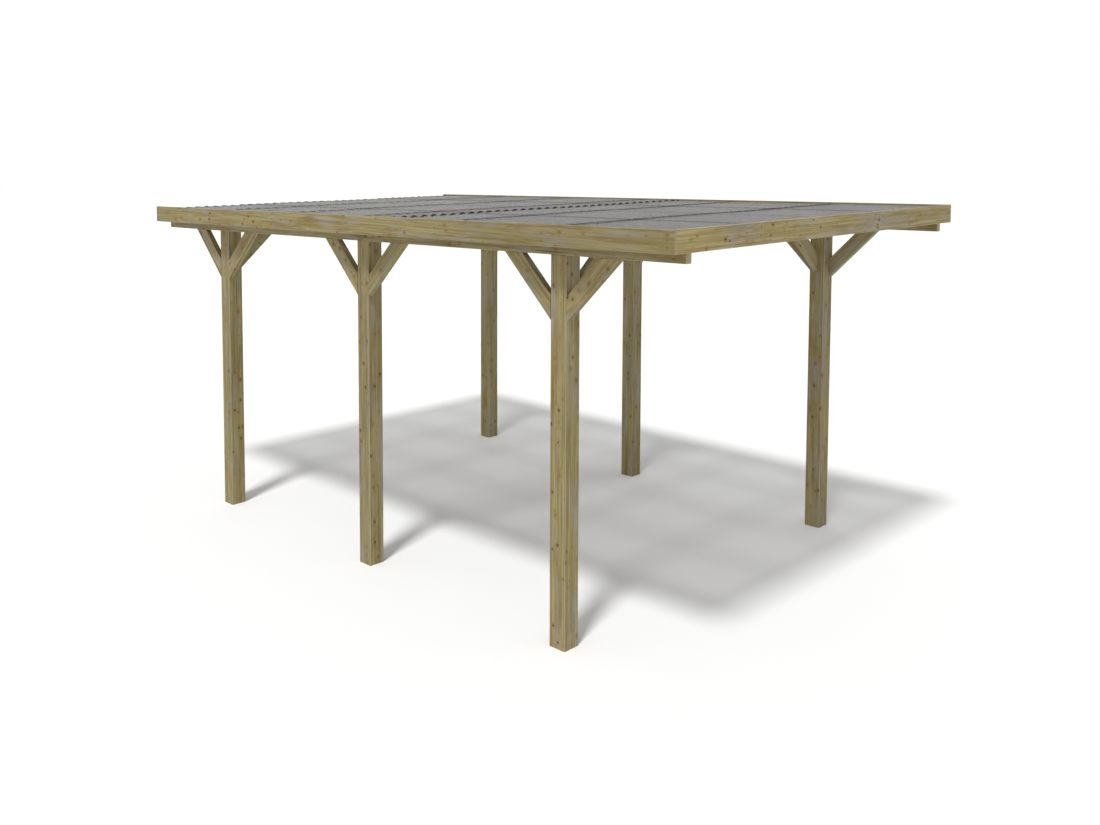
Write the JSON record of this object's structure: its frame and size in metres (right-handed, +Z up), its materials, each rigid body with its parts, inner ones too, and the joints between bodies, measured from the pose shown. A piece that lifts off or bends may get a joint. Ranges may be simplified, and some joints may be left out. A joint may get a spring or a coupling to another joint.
{
  "type": "carport",
  "caption": "Open timber carport with braced square posts, edge boards and a low sloping roof of see-through corrugated sheets, standing on level ground.",
  "frame": {"origin": "on the ground, under the middle of the roof's outline", "axes": "+X to the right seen from the entrance, +Y from the entrance to the back along the rows of posts, +Z up"},
  "size_m": [3.12, 5.08, 2.3662],
  "materials": {
    "post_timber": "planed, pressure treated softwood with a green tint",
    "beam_timber": "planed, pressure treated softwood with a green tint",
    "brace_timber": "planed, pressure treated softwood with a green tint",
    "rafter_timber": "planed, pressure treated softwood with a green tint",
    "board_timber": "planed, pressure treated softwood with a green tint",
    "roof_sheet": "smoked, see-through corrugated sheet"
  },
  "bodies": {
    "root": {"beam_left": "beam_timber", "beam_right": "beam_timber", "brace_back_left_forward": "brace_timber", "brace_back_left_inward": "brace_timber", "brace_back_left_rearward": "brace_timber", "brace_back_right_forward": "brace_timber", "brace_back_right_inward": "brace_timber", "brace_back_right_rearward": "brace_timber", "brace_front_left_forward": "brace_timber", "brace_front_left_inward": "brace_timber", "brace_front_left_rearward": "brace_timber", "brace_front_right_forward": "brace_timber", "brace_front_right_inward": "brace_timber", "brace_front_right_rearward": "brace_timber", "brace_middle_left_forward": "brace_timber", "brace_middle_left_rearward": "brace_timber", "brace_middle_right_forward": "brace_timber", "brace_middle_right_rearward": "brace_timber", "front_board": "board_timber", "post_back_left": "post_timber", "post_back_right": "post_timber", "post_front_left": "post_timber", "post_front_right": "post_timber", "post_middle_left": "post_timber", "post_middle_right": "post_timber", "rafter_1": "rafter_timber", "rafter_2": "rafter_timber", "rafter_3": "rafter_timber", "rafter_4": "rafter_timber", "rafter_5": "rafter_timber", "rafter_6": "rafter_timber", "rafter_7": "rafter_timber", "sheet_back_1": "roof_sheet", "sheet_back_2": "roof_sheet", "sheet_back_3": "roof_sheet", "sheet_back_4": "roof_sheet", "sheet_front_1": "roof_sheet", "sheet_front_2": "roof_sheet", "sheet_front_3": "roof_sheet", "sheet_front_4": "roof_sheet", "side_board_left": "board_timber", "side_board_right": "board_timber"}
  },
  "joints": []
}
